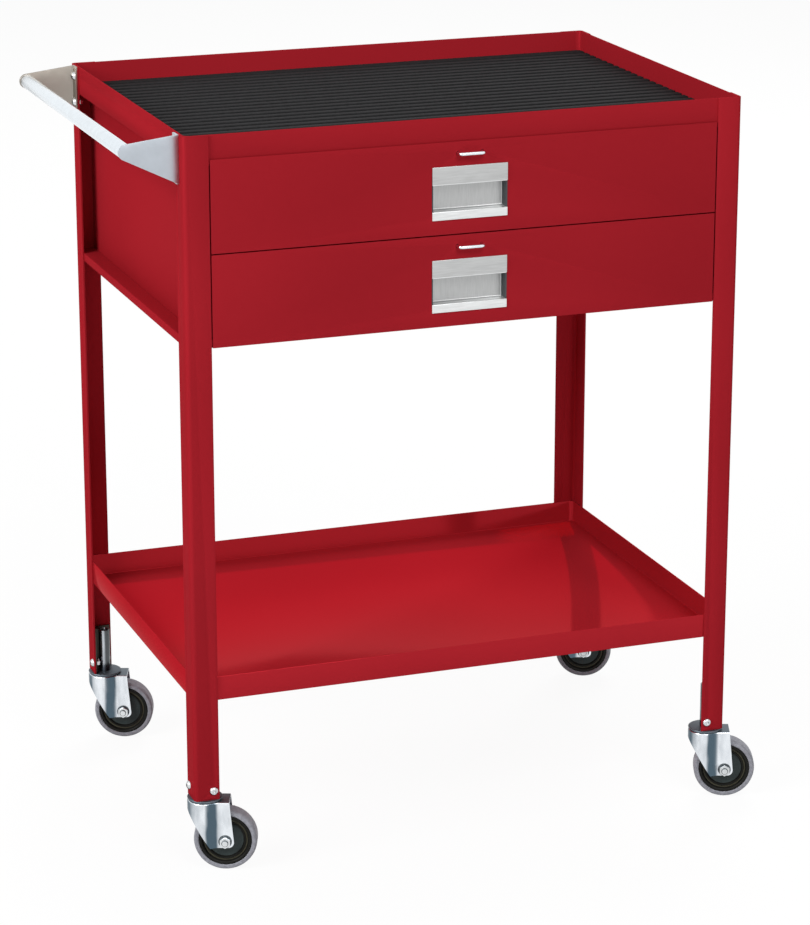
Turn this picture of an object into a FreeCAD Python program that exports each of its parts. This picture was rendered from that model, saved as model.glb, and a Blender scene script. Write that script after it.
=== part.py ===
"""A two-drawer service cart on four swivel casters, in millimetres.

X runs to the right along the drawer fronts, Y to the back and Z up.
The origin is on the floor, under the middle of the four legs.
"""
import FreeCAD, Part
import math
import os
import re
import Sketcher

Vector = FreeCAD.Vector
Rotation = FreeCAD.Rotation
Placement = FreeCAD.Placement

# Driving dimensions, kept in the sheet
SIZES = {
    "frame_width": 680,
    "frame_depth": 480,
    "top_height": 880,
    "leg_flange": 30,
    "leg_sheet": 2,
    "leg_bend": 5,
    "pan_sheet": 1.5,
    "pan_corner": 8,
    "tray_rim": 34,
    "tray_face": 28,
    "mat_thick": 8,
    "mat_gap": 0.5,
    "mat_groove": 8,
    "mat_groove_depth": 3.5,
    "mat_pitch": 18.8,
    "shelf_height": 213,
    "shelf_rim": 29,
    "front_height": 107,
    "cabinet_lip": 10,
    "panel_sheet": 1.2,
    "panel_inset": 22,
    "back_flange": 12,
    "drawer_gap": 1.5,
    "side_gap": 1.5,
    "drawer_travel": 320,
    "front_sheet": 1.5,
    "front_return": 16,
    "return_low": 12,
    "return_high": 7,
    "box_sheet": 1,
    "box_length": 435,
    "box_top_gap": 15,
    "slide_sheet": 1,
    "slide_rise": 35,
    "slide_length": 430,
    "slide_lap": 4.2,
    "slide_start": 1.5,
    "slide_tip_gap": 0.8,
    "slide_pass_gap": 0.8,
    "slide_run_gap": 0.1,
    "pull_width": 92,
    "pull_foot": 17,
    "pull_strip": 21.5,
    "pull_lip": 10,
    "pull_hold": 6,
    "pull_sheet": 1.2,
    "pull_depth": 14,
    "pull_drop": 28,
    "cut_gap": 0.3,
    "wire_diameter": 3.8,
    "wire_span": 33.5,
    "wire_reach": 9,
    "wire_bend": 4,
    "wire_drop": 13,
    "wire_tail": 3,
    "handle_reach": 60,
    "bar_diameter": 17,
    "bar_drop": 16,
    "arm_sheet": 2.5,
    "arm_root": 56,
    "arm_inset": 14,
    "arm_tip": 9,
    "arm_bolt_edge": 12,
    "bolt_diameter": 5,
    "bolt_head": 10.5,
    "bolt_head_height": 3.3,
    "bolt_play": 0.2,
    "nut_across": 8,
    "nut_height": 4,
    "bolt_tail": 1,
    "socket_sheet": 2,
    "socket_width": 26,
    "socket_height": 55,
    "socket_tube": 14,
    "socket_web": 9,
    "socket_bolt_in": 23,
    "socket_bolt_low": 11,
    "socket_bolt_high": 13,
    "stem_inset": 17,
    "stem_diameter": 10,
    "stem_length": 50,
    "stem_play": 0.1,
    "caster_yaw": -21,
    "caster_trail": 24,
    "wheel_diameter": 75,
    "wheel_width": 24,
    "tyre_thick": 6.2,
    "crown_clearance": 9,
    "crown_sheet": 2.5,
    "crown_diameter": 42,
    "lower_race": 1,
    "lower_race_diameter": 38,
    "upper_race": 2.2,
    "race_gap": 0.3,
    "kingpin_diameter": 8,
    "pin_play": 0.05,
    "rivet_diameter": 14,
    "rivet_height": 3,
    "fork_gap": 27,
    "cheek_sheet": 2,
    "cheek_nose": 29.5,
    "cheek_shoulder": 11,
    "cheek_heel": 17.5,
    "cheek_drop": 8,
    "cheek_front": 11,
    "cheek_round": 7.5,
    "heel_round": 3,
    "axle_diameter": 8,
    "axle_across": 13,
    "axle_nut": 5.5,
    "axle_tail": 2,
    "hub_boss": 18,
    "hub_side_gap": 0.3,
    "hub_web_depth": 4,
    "hub_ring": 44,
    "hub_step": 1.5,
}

# Sizes worked out from the driving ones
DERIVED = {
    "half_width": "frame_width / 2",
    "half_depth": "frame_depth / 2",
    "nest_width": "frame_width - 2 * leg_sheet",
    "nest_depth": "frame_depth - 2 * leg_sheet",
    "wheel_radius": "wheel_diameter / 2",
    "crown_bottom": "wheel_diameter + crown_clearance",
    "crown_top": "crown_bottom + crown_sheet",
    "race_bottom": "crown_top + lower_race + race_gap",
    "caster_height": "race_bottom + upper_race",
    "leg_length": "top_height - caster_height",
    "tray_bottom": "top_height - tray_rim",
    "mat_width": "nest_width - 2 * pan_sheet - 2 * mat_gap",
    "mat_depth": "nest_depth - 2 * pan_sheet - 2 * mat_gap",
    "cabinet_floor_top": "cabinet_bottom + cabinet_lip",
    "panel_height": "tray_bottom - cabinet_floor_top",
    "panel_outer": "half_width - panel_inset",
    "panel_inner": "panel_outer - panel_sheet",
    "front_width": "frame_width - 2 * leg_flange - 2 * side_gap",
    "cabinet_bottom": "top_height - tray_face - 2 * front_height - drawer_gap",
    "front_depth": "front_sheet + front_return",
    "runner_tip": "half_width - leg_flange - slide_pass_gap",
    "runner_web": "runner_tip - slide_lap",
    "box_half": "runner_web - slide_sheet",
    "box_height": "front_height - return_low - box_top_gap",
    "channel_tip": "runner_web + slide_tip_gap",
    "slide_lift": "return_low + (box_height - slide_rise) / 2",
    "slide_front": "front_depth + slide_start",
    "pull_top": "front_height - pull_drop",
    "pull_bottom": "pull_foot",
    "wire_level": "front_height - wire_drop",
    "wire_radius": "wire_diameter / 2",
    "wire_half": "wire_span / 2 - wire_radius",
    "arm_floor": "top_height - arm_root",
    "arm_flange": "leg_flange - arm_inset - arm_sheet",
    "arm_bolt_in": "arm_inset + arm_sheet + arm_flange / 2",
    "bolt_radius": "bolt_diameter / 2",
    "bolt_hole": "bolt_radius + bolt_play",
    "axle_radius": "axle_diameter / 2",
    "kingpin_radius": "kingpin_diameter / 2",
    "hub_radius": "wheel_radius - tyre_thick",
    "hub_half": "wheel_width / 2 - 0.5 * hub_step",
    "boss_half": "fork_gap / 2 - hub_side_gap",
}

doc = FreeCAD.newDocument("ServiceCart")
sheet = doc.addObject("Spreadsheet::Sheet", "Sizes")
for row, (word, number) in enumerate(SIZES.items(), start=1):
    sheet.set("A%d" % row, word)
    sheet.set("B%d" % row, str(number))
    sheet.setAlias("B%d" % row, word)
doc.recompute()

NODES = {}


def ref(text):
    """Turn a formula of size names into one that reads the sheet."""

    def swap(match):
        word = match.group(0)
        if word in DERIVED:
            return "(" + ref(DERIVED[word]) + ")"
        if word in SIZES:
            return "Sizes." + word
        return word

    return re.sub(r"[a-z][a-z_0-9]*", swap, str(text))


def value(text):
    """The formula's present value in millimetres or degrees."""
    return float(sheet.evalExpression(ref(text)))


def minus(text):
    """The formula with its sign turned."""
    return "-(%s)" % text


def place(thing, x="0", y="0", z="0", turn=None):
    """Put an object at a point given by formulas, turned by an optional rotation."""
    spot = Vector(value(x), value(y), value(z))
    thing.Placement = Placement(spot, turn or Rotation())
    for axis, formula in zip("xyz", (x, y, z)):
        thing.setExpression("Placement.Base." + axis, ref(formula))
    return thing


def keep(thing, name):
    """Name a finished sub-part and list it for export."""
    thing.Label = name
    NODES[name] = thing
    return thing


def new_body(name):
    """An empty body for one sub-part."""
    return keep(doc.addObject("PartDesign::Body", name), name)


def sketch_on(body, role, level="0"):
    """A sketch on one of the body's own planes, moved along the plane's normal."""
    plane = [item for item in body.Origin.OriginFeatures if item.Role == role][0]
    sketch = body.newObject("Sketcher::SketchObject", "Sketch")
    sketch.AttachmentSupport = (plane, [""])
    sketch.MapMode = "FlatFace"
    sketch.setExpression("AttachmentOffset.Base.z", ref(level))
    return sketch


def fix(sketch, kind, places, formula):
    """A dimension in a sketch, bound to a formula."""
    index = sketch.addConstraint(Sketcher.Constraint(kind, *places, value(formula)))
    sketch.setExpression("Constraints[%d]" % index, ref(formula))


def outline(sketch, points):
    """A closed outline of straight lines through points given by formulas."""
    spots = [Vector(value(x), value(y), 0) for x, y in points]
    first = sketch.GeometryCount
    count = len(points)
    for i in range(count):
        sketch.addGeometry(Part.LineSegment(spots[i], spots[(i + 1) % count]), False)
    for i in range(count):
        after = first + (i + 1) % count
        sketch.addConstraint(Sketcher.Constraint("Coincident", first + i, 2, after, 1))
    for i, (x, y) in enumerate(points):
        fix(sketch, "DistanceX", (-1, 1, first + i, 1), x)
        fix(sketch, "DistanceY", (-1, 1, first + i, 1), y)
    return sketch


def rectangle(sketch, x0, x1, y0, y1):
    """A rectangle between four formulas."""
    return outline(sketch, [(x0, y0), (x1, y0), (x1, y1), (x0, y1)])


def ring(sketch, x, y, radius):
    """A circle whose centre and radius are formulas."""
    circle = Part.Circle(Vector(value(x), value(y), 0), Vector(0, 0, 1), value(radius))
    index = sketch.addGeometry(circle, False)
    fix(sketch, "DistanceX", (-1, 1, index, 3), x)
    fix(sketch, "DistanceY", (-1, 1, index, 3), y)
    fix(sketch, "Radius", (index,), radius)
    return sketch


def pad(body, sketch, length, back=False):
    """Extrude a sketch along its normal, or against it."""
    feature = body.newObject("PartDesign::Pad", "Pad")
    feature.Profile = sketch
    feature.setExpression("Length", ref(length))
    feature.Reversed = back
    doc.recompute()
    return feature


def pocket(body, sketch, length, ahead=False):
    """Cut a sketch against its normal, or along it, and make sure that it removed material."""
    before = body.Shape.Volume
    feature = body.newObject("PartDesign::Pocket", "Pocket")
    feature.Profile = sketch
    feature.setExpression("Length", ref(length))
    feature.Reversed = ahead
    doc.recompute()
    if not feature.Shape.Volume < before - 1e-6:
        raise RuntimeError("a pocket removed nothing in " + body.Label)
    return feature


def revolve(body, sketch):
    """Turn a sketch right round its vertical axis."""
    feature = body.newObject("PartDesign::Revolution", "Revolution")
    feature.Profile = sketch
    feature.ReferenceAxis = (sketch, ["V_Axis"])
    feature.Angle = 360
    doc.recompute()
    return feature


def edge_names(shape, test):
    """Names of the shape's edges that pass a test."""
    return ["Edge%d" % (i + 1) for i, edge in enumerate(shape.Edges) if test(edge)]


def round_edges(body, feature, test, radius):
    """Round the feature's edges that pass a test."""
    names = edge_names(feature.Shape, test)
    fillet = body.newObject("PartDesign::Fillet", "Fillet")
    fillet.Base = (feature, names)
    fillet.setExpression("Radius", ref(radius))
    doc.recompute()
    return fillet


def runs_along(edge, direction):
    """True for a straight edge along a direction."""
    if not isinstance(edge.Curve, Part.Line):
        return False
    return abs(edge.Curve.Direction.dot(direction)) > 0.999


def upright(edge):
    """True for a straight vertical edge."""
    return runs_along(edge, Vector(0, 0, 1))


def hollow(body, feature, top, sheet_name):
    """Leave a sheet-metal pan that is open at its top or at its bottom."""
    box = feature.Shape.BoundBox
    level = box.ZMax if top else box.ZMin
    faces = feature.Shape.Faces
    flat = [i for i, face in enumerate(faces) if abs(face.BoundBox.ZMin - level) < 0.01
            and abs(face.BoundBox.ZMax - level) < 0.01]
    shell = body.newObject("PartDesign::Thickness", "Shell")
    shell.Base = (feature, ["Face%d" % (i + 1) for i in flat])
    shell.setExpression("Value", ref(sheet_name))
    shell.Reversed = True
    doc.recompute()
    return shell


def block(name, x0, x1, y0, y1, z0, z1):
    """A box between six formulas."""
    box = doc.addObject("Part::Box", name)
    box.setExpression("Length", ref("(%s) - (%s)" % (x1, x0)))
    box.setExpression("Width", ref("(%s) - (%s)" % (y1, y0)))
    box.setExpression("Height", ref("(%s) - (%s)" % (z1, z0)))
    return place(box, x0, y0, z0)


def rod(name, radius, length, x, y, z, turn=None):
    """A cylinder that starts at a point; without a turn it runs up."""
    cylinder = doc.addObject("Part::Cylinder", name)
    cylinder.setExpression("Radius", ref(radius))
    cylinder.setExpression("Height", ref(length))
    return place(cylinder, x, y, z, turn)


def hexagon(name, across, length, x, y, z, turn=None):
    """A six-sided prism that starts at a point; without a turn it runs up."""
    prism = doc.addObject("Part::Prism", name)
    prism.Polygon = 6
    prism.setExpression("Circumradius", ref("(%s) / 2 / cos(30 deg)" % across))
    prism.setExpression("Height", ref(length))
    return place(prism, x, y, z, turn)


def join(name, shapes):
    """One solid from several that meet."""
    fusion = doc.addObject("Part::MultiFuse", name)
    fusion.Shapes = shapes
    return fusion


def cut(name, base, tool):
    """The base without the tool."""
    result = doc.addObject("Part::Cut", name)
    result.Base = base
    result.Tool = tool
    return result


TO_BACK = Rotation(Vector(1, 0, 0), -90)
TO_FRONT = Rotation(Vector(1, 0, 0), 90)
TO_RIGHT = Rotation(Vector(0, 1, 0), 90)
TO_LEFT = Rotation(Vector(0, 1, 0), -90)

# Each corner: sign along X, sign along Y, and the turn of a leg's own frame
CORNERS = {
    "front_left": (-1, -1, 0),
    "front_right": (1, -1, 90),
    "rear_right": (1, 1, 180),
    "rear_left": (-1, 1, 270),
}


def drill(body, role, across, up, radius, depth, ahead=False, level="0"):
    """A round hole from one of the body's planes."""
    pocket(body, ring(sketch_on(body, role, level), across, up, radius), depth, ahead)


def build_leg(corner):
    """An angle leg, with its corner outward and bolt holes for its caster and the handle."""
    side, end, turn = CORNERS[corner]
    leg = new_body("leg_" + corner)
    points = [
        ("0", "0"),
        ("leg_flange", "0"),
        ("leg_flange", "leg_sheet"),
        ("leg_sheet", "leg_sheet"),
        ("leg_sheet", "leg_flange"),
        ("0", "leg_flange"),
    ]
    angle = pad(leg, outline(sketch_on(leg, "XY_Plane"), points), "leg_length")
    half_sheet = value("leg_sheet") / 2

    def outer_bend(edge):
        spot = edge.CenterOfMass
        return upright(edge) and spot.x < half_sheet and spot.y < half_sheet

    def inner_bend(edge):
        spot = edge.CenterOfMass
        corner_at = value("leg_sheet")
        return upright(edge) and abs(spot.x - corner_at) < 0.01 and abs(spot.y - corner_at) < 0.01

    bent = round_edges(leg, angle, outer_bend, "leg_bend")
    round_edges(leg, bent, inner_bend, "leg_bend - leg_sheet")

    # The flange along the frame's front or back takes the lower caster bolt
    x_flange_is_end = turn in (0, 180)
    x_bolt = "socket_bolt_low" if x_flange_is_end else "socket_bolt_high"
    y_bolt = "socket_bolt_high" if x_flange_is_end else "socket_bolt_low"
    drill(leg, "XZ_Plane", "socket_bolt_in", x_bolt, "bolt_hole", "leg_sheet")
    drill(leg, "YZ_Plane", "socket_bolt_in", y_bolt, "bolt_hole", "leg_sheet", ahead=True)

    if side < 0:
        role = "YZ_Plane" if x_flange_is_end else "XZ_Plane"
        for up in ("leg_length - arm_bolt_edge", "leg_length - arm_root + arm_bolt_edge"):
            drill(leg, role, "arm_bolt_in", up, "bolt_hole", "leg_sheet", ahead=x_flange_is_end)
    place(leg, "%d * half_width" % side, "%d * half_depth" % end, "caster_height",
          Rotation(Vector(0, 0, 1), turn))


def build_pan(name, rim, level, open_top=True):
    """A folded pan that nests inside the four legs, with rounded corners."""
    pan = new_body(name)
    sketch = rectangle(sketch_on(pan, "XY_Plane"), "-nest_width / 2", "nest_width / 2",
                       "-nest_depth / 2", "nest_depth / 2")
    rounded = round_edges(pan, pad(pan, sketch, rim), upright, "pan_corner")
    hollow(pan, rounded, open_top, "pan_sheet")
    place(pan, z=level)
    return pan


def build_tray():
    """The top tray, with holes in its left rim for the handle's upper bolts."""
    tray = build_pan("top_tray", "tray_rim", "tray_bottom")
    for end in (-1, 1):
        across = "%d * (half_depth - arm_bolt_in)" % end
        drill(tray, "YZ_Plane", across, "tray_rim - arm_bolt_edge", "bolt_hole", "pan_sheet",
              ahead=True, level="-nest_width / 2")


def build_mat():
    """The rubber mat, ribbed from left to right."""
    mat = new_body("tray_mat")
    sketch = rectangle(sketch_on(mat, "XY_Plane"), "-mat_width / 2", "mat_width / 2",
                       "-mat_depth / 2", "mat_depth / 2")
    round_edges(mat, pad(mat, sketch, "mat_thick"), upright, "pan_corner - pan_sheet")
    count = int(value("mat_depth - mat_groove") / value("mat_pitch"))
    count -= count % 2
    first = "-mat_pitch * %s" % ((count - 1) / 2)
    sketch = rectangle(sketch_on(mat, "XY_Plane", "mat_thick"), "-mat_width / 2 - mat_gap",
                       "mat_width / 2 + mat_gap", first + " - mat_groove / 2",
                       first + " + mat_groove / 2")
    groove = pocket(mat, sketch, "mat_groove_depth")
    pattern = mat.newObject("PartDesign::LinearPattern", "Grooves")
    pattern.Originals = [groove]
    pattern.Direction = (sketch, ["V_Axis"])
    pattern.Occurrences = count
    pattern.setExpression("Length", ref("mat_pitch * %d" % (count - 1)))
    mat.Tip = pattern
    place(mat, z="tray_bottom + pan_sheet")


def build_side_panel(name, side):
    """A cabinet side set in from the legs, with a flange out to each leg."""
    panel = new_body(name)

    def out(formula):
        return "%d * (%s)" % (side, formula)

    points = [
        (out("half_width - leg_bend"), "-nest_depth / 2"),
        (out("panel_inner"), "-nest_depth / 2"),
        (out("panel_inner"), "nest_depth / 2"),
        (out("half_width - leg_bend"), "nest_depth / 2"),
        (out("half_width - leg_bend"), "nest_depth / 2 - panel_sheet"),
        (out("panel_outer"), "nest_depth / 2 - panel_sheet"),
        (out("panel_outer"), "-nest_depth / 2 + panel_sheet"),
        (out("half_width - leg_bend"), "-nest_depth / 2 + panel_sheet"),
    ]
    pad(panel, outline(sketch_on(panel, "XY_Plane"), points), "panel_height")
    place(panel, z="cabinet_floor_top")


def build_back_panel():
    """The cabinet's back, with a flange forward along each side panel."""
    back = new_body("cabinet_back")
    points = [
        ("-panel_inner", "nest_depth / 2"),
        ("panel_inner", "nest_depth / 2"),
        ("panel_inner", "nest_depth / 2 - back_flange"),
        ("panel_inner - panel_sheet", "nest_depth / 2 - back_flange"),
        ("panel_inner - panel_sheet", "nest_depth / 2 - panel_sheet"),
        ("-panel_inner + panel_sheet", "nest_depth / 2 - panel_sheet"),
        ("-panel_inner + panel_sheet", "nest_depth / 2 - back_flange"),
        ("-panel_inner", "nest_depth / 2 - back_flange"),
    ]
    pad(back, outline(sketch_on(back, "XY_Plane"), points), "panel_height")
    place(back, z="cabinet_floor_top")


def build_slide(name, side, web, tip, low, high, level):
    """A channel along Y with a web at one X and two flanges out to a tip."""
    slide = new_body(name)
    inner_web = "%s + slide_sheet * %d" % (web, 1 if value(tip) > value(web) else -1)

    def out(formula):
        return "%d * (%s)" % (side, formula)

    points = [
        (out(web), low),
        (out(tip), low),
        (out(tip), low + " + slide_sheet"),
        (out(inner_web), low + " + slide_sheet"),
        (out(inner_web), high + " - slide_sheet"),
        (out(tip), high + " - slide_sheet"),
        (out(tip), high),
        (out(web), high),
    ]
    pad(slide, outline(sketch_on(slide, "XZ_Plane"), points), "slide_length", back=True)
    place(slide, y="slide_front - half_depth", z=level)


def build_drawer(name, level):
    """A drawer: its slides, runners, box, front, recessed pull and wire loop."""
    for hand, side in (("left", -1), ("right", 1)):
        build_slide("%s_slide_%s" % (name, hand), side, "panel_inner", "channel_tip",
                    "slide_lift", "slide_lift + slide_rise", level)
        edge = "slide_sheet + slide_run_gap"
        build_slide("%s_runner_%s" % (name, hand), side, "box_half", "runner_tip",
                    "slide_lift + " + edge, "slide_lift + slide_rise - (%s)" % edge, level)

    box = new_body(name + "_drawer_box")
    sketch = rectangle(sketch_on(box, "XY_Plane", "return_low"), "-box_half", "box_half",
                       "front_depth", "front_depth + box_length")
    hollow(box, pad(box, sketch, "box_height"), True, "box_sheet")

    front = new_body(name + "_drawer_front")
    sketch = rectangle(sketch_on(front, "XZ_Plane"), "-front_width / 2", "front_width / 2",
                       "0", "front_height")
    pad(front, sketch, "front_sheet", back=True)
    sketch = rectangle(sketch_on(front, "XZ_Plane"), "-front_width / 2", "front_width / 2",
                       "return_low", "front_height - return_high")
    rectangle(sketch, "-front_width / 2 + front_sheet", "front_width / 2 - front_sheet",
              "return_low + front_sheet", "front_height - return_high - front_sheet")
    pad(front, sketch, "front_depth", back=True)
    sketch = rectangle(sketch_on(front, "XZ_Plane"), "-pull_width / 2 - cut_gap",
                       "pull_width / 2 + cut_gap", "pull_bottom + pull_hold - cut_gap",
                       "pull_top - pull_hold + cut_gap")
    pocket(front, sketch, "front_sheet")
    for side in (-1, 1):
        across = "%d * wire_half" % side
        drill(front, "XZ_Plane", across, "wire_level", "wire_radius + cut_gap", "front_sheet")

    pull = build_pull(name)
    wire = build_wire(name)
    for piece in (box, front, pull, wire):
        place(piece, y="-half_depth", z=level)


def build_pull(name):
    """A recessed pull: a strip above, a lip below, and a pocket that runs up behind the strip."""
    edge = "pull_width / 2"
    inner = "pull_width / 2 - pull_sheet"
    plate = block("Plate", "-%s" % edge, edge, "-pull_sheet", "0", "pull_bottom", "pull_top")
    shell = block("Shell", "-%s" % edge, edge, "0", "pull_depth", "pull_bottom + pull_hold",
                  "pull_top - pull_hold")
    space = block("Space", minus(inner), inner, "0", "pull_depth - pull_sheet",
                  "pull_bottom + pull_lip", "pull_top - pull_hold - pull_sheet")
    mouth = block("Mouth", minus(inner), inner, "-2 * pull_sheet", "pull_sheet",
                  "pull_bottom + pull_lip", "pull_top - pull_strip")
    pressed = cut("Pressed", join("PullBlank", [plate, shell]), join("PullSpace", [space, mouth]))
    return keep(pressed, name + "_drawer_pull")


def build_wire(name):
    """A small wire staple over the pull, with both ends through the drawer front."""
    straight = "wire_half - wire_bend"
    near = "wire_bend - wire_reach"
    pieces = [rod("Bar", "wire_radius", "2 * (%s)" % straight, minus(straight), "-wire_reach",
                  "wire_level", TO_RIGHT)]
    for side, turn in ((-1, 180), (1, -90)):
        across = "%d * wire_half" % side
        pieces.append(rod("Tail", "wire_radius", "wire_reach - wire_bend + front_sheet + wire_tail",
                          across, near, "wire_level", TO_BACK))
        elbow = doc.addObject("Part::Torus", "Elbow")
        elbow.setExpression("Radius1", ref("wire_bend"))
        elbow.setExpression("Radius2", ref("wire_radius"))
        elbow.Angle3 = 90
        place(elbow, "%d * (%s)" % (side, straight), near, "wire_level",
              Rotation(Vector(0, 0, 1), turn))
        pieces.append(elbow)
    return keep(join("Staple", pieces), name + "_drawer_wire")


def tangent_angle(point, centre, radius, sign):
    """Direction, from a circle's centre, of the spot where a line from the point touches it."""
    offset = point - centre
    return math.atan2(offset.y, offset.x) + sign * math.acos(radius / offset.Length)


def build_arm(name, end):
    """A tapered handle arm with a bent flange that is bolted to the leg's side."""
    arm = new_body(name)
    sketch = sketch_on(arm, "XZ_Plane")
    top = Vector(0, value("arm_root"), 0)
    bottom = Vector(0, 0, 0)
    centre = Vector(-value("handle_reach"), value("arm_root - bar_drop"), 0)
    radius = value("arm_tip")
    start = tangent_angle(top, centre, radius, 1)
    stop = tangent_angle(bottom, centre, radius, -1) + 2 * math.pi
    arc = Part.ArcOfCircle(Part.Circle(centre, Vector(0, 0, 1), radius), start, stop)
    sketch.addGeometry(Part.LineSegment(bottom, top), False)
    sketch.addGeometry(Part.LineSegment(top, arc.StartPoint), False)
    sketch.addGeometry(arc, False)
    sketch.addGeometry(Part.LineSegment(arc.EndPoint, bottom), False)
    sketch.addConstraint(Sketcher.Constraint("Coincident", 0, 2, 1, 1))
    sketch.addConstraint(Sketcher.Constraint("Tangent", 1, 2, 2, 1))
    sketch.addConstraint(Sketcher.Constraint("Tangent", 2, 2, 3, 1))
    sketch.addConstraint(Sketcher.Constraint("Coincident", 3, 2, 0, 1))
    fix(sketch, "DistanceX", (-1, 1, 0, 1), "0")
    fix(sketch, "DistanceY", (-1, 1, 0, 1), "0")
    fix(sketch, "DistanceX", (-1, 1, 0, 2), "0")
    fix(sketch, "DistanceY", (-1, 1, 0, 2), "arm_root")
    fix(sketch, "DistanceX", (-1, 1, 2, 3), "-handle_reach")
    fix(sketch, "DistanceY", (-1, 1, 2, 3), "arm_root - bar_drop")
    fix(sketch, "Radius", (2,), "arm_tip")
    pad(arm, sketch, "arm_sheet")
    near = "0" if end < 0 else "-arm_sheet"
    far = "arm_flange" if end < 0 else "-arm_sheet - arm_flange"
    sketch = rectangle(sketch_on(arm, "XY_Plane"), "-arm_sheet", "0", *sorted((near, far), key=value))
    pad(arm, sketch, "arm_root")
    for up in ("arm_bolt_edge", "arm_root - arm_bolt_edge"):
        drill(arm, "YZ_Plane", "(%s + %s) / 2" % (near, far), up, "bolt_hole", "arm_sheet")
    base = "-half_depth + arm_inset + arm_sheet" if end < 0 else "half_depth - arm_inset"
    place(arm, "-half_width", base, "arm_floor")


def build_bolt(name, grip, turn, x, y, z, direction):
    """A round-headed bolt with its nut: the head's seat is at the point, and the shank runs in."""
    dx, dy = direction
    head = rod(name + "Head", "bolt_head / 2", "bolt_head_height",
               "%s - %d * bolt_head_height" % (x, dx), "%s - %d * bolt_head_height" % (y, dy),
               z, turn)
    shank = rod(name + "Shank", "bolt_radius", "%s + nut_height + bolt_tail" % grip, x, y, z,
                turn)
    nut = hexagon(name + "Nut", "nut_across", "nut_height", "%s + %d * (%s)" % (x, dx, grip),
                  "%s + %d * (%s)" % (y, dy, grip), z, turn)
    return join(name, [head, shank, nut])


def build_handle():
    """The push handle at the left end: a bar between two arms, bolted to the left legs."""
    build_arm("handle_arm_front", -1)
    build_arm("handle_arm_rear", 1)
    inset = "arm_inset + arm_sheet"
    bar = rod("handle_bar", "bar_diameter / 2", "frame_depth - 2 * (%s)" % inset,
              "-half_width - handle_reach", "-half_depth + " + inset, "top_height - bar_drop",
              TO_BACK)
    keep(bar, "handle_bar")
    bolts = []
    for end in (-1, 1):
        y = "%d * (half_depth - arm_bolt_in)" % end
        seat = "-half_width - arm_sheet"
        bolts.append(build_bolt("HighBolt", "arm_sheet + leg_sheet + pan_sheet", TO_RIGHT, seat, y,
                                "top_height - arm_bolt_edge", (1, 0)))
        bolts.append(build_bolt("LowBolt", "arm_sheet + leg_sheet", TO_RIGHT, seat, y,
                                "arm_floor + arm_bolt_edge", (1, 0)))
    group = doc.addObject("Part::Compound", "handle_bolts")
    group.Links = bolts
    keep(group, "handle_bolts")


def build_socket(corner):
    """The bracket inside a leg's foot that holds the caster's stem."""
    side, end, turn = CORNERS[corner]
    socket = new_body("socket_" + corner)
    outer = "leg_sheet + socket_width"
    lined = "leg_sheet + socket_sheet"
    web = "leg_sheet + socket_sheet + socket_web"
    bend = "leg_bend"
    points = [
        (bend, "leg_sheet"),
        (outer, "leg_sheet"),
        (outer, lined),
        (web, lined),
        (web, web),
        (lined, web),
        (lined, outer),
        ("leg_sheet", outer),
        ("leg_sheet", bend),
    ]
    pad(socket, outline(sketch_on(socket, "XY_Plane"), points), "socket_height")
    tube = ring(sketch_on(socket, "XY_Plane"), "stem_inset", "stem_inset", "socket_tube / 2")
    pad(socket, tube, "socket_height")
    drill(socket, "XY_Plane", "stem_inset", "stem_inset", "stem_diameter / 2 + stem_play",
          "socket_height", level="socket_height")
    x_flange_is_end = turn in (0, 180)
    x_bolt = "socket_bolt_low" if x_flange_is_end else "socket_bolt_high"
    y_bolt = "socket_bolt_high" if x_flange_is_end else "socket_bolt_low"
    drill(socket, "XZ_Plane", "socket_bolt_in", x_bolt, "bolt_hole", "socket_sheet",
          level="-leg_sheet")
    drill(socket, "YZ_Plane", "socket_bolt_in", y_bolt, "bolt_hole", "socket_sheet", ahead=True,
          level="leg_sheet")
    place(socket, "%d * half_width" % side, "%d * half_depth" % end, "caster_height",
          Rotation(Vector(0, 0, 1), turn))


def build_socket_bolts():
    """Two bolts through each leg's foot into its caster bracket."""
    bolts = []
    for side, end, turn in CORNERS.values():
        x_seat = "%d * half_width" % side
        y_seat = "%d * half_depth" % end
        along_x = "%d * (half_width - socket_bolt_in)" % side
        along_y = "%d * (half_depth - socket_bolt_in)" % end
        grip = "leg_sheet + socket_sheet"
        bolts.append(build_bolt("EndBolt", grip, TO_BACK if end < 0 else TO_FRONT, along_x, y_seat,
                                "caster_height + socket_bolt_low", (0, -end)))
        bolts.append(build_bolt("SideBolt", grip, TO_RIGHT if side < 0 else TO_LEFT, x_seat,
                                along_y, "caster_height + socket_bolt_high", (-side, 0)))
    group = doc.addObject("Part::Compound", "socket_bolts")
    group.Links = bolts
    keep(group, "socket_bolts")


def build_stem(corner):
    """The caster's fixed pin: a stem in the bracket, the upper ball race and the kingpin."""
    stem = new_body("caster_stem_" + corner)
    head_top = "crown_bottom - race_gap"
    points = [
        ("0", "caster_height + stem_length"),
        ("stem_diameter / 2", "caster_height + stem_length"),
        ("stem_diameter / 2", "caster_height"),
        ("crown_diameter / 2", "caster_height"),
        ("crown_diameter / 2", "race_bottom"),
        ("kingpin_radius", "race_bottom"),
        ("kingpin_radius", head_top),
        ("rivet_diameter / 2", head_top),
        ("rivet_diameter / 2", head_top + " - rivet_height"),
        ("0", head_top + " - rivet_height"),
    ]
    revolve(stem, outline(sketch_on(stem, "XZ_Plane"), points))
    return stem


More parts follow.
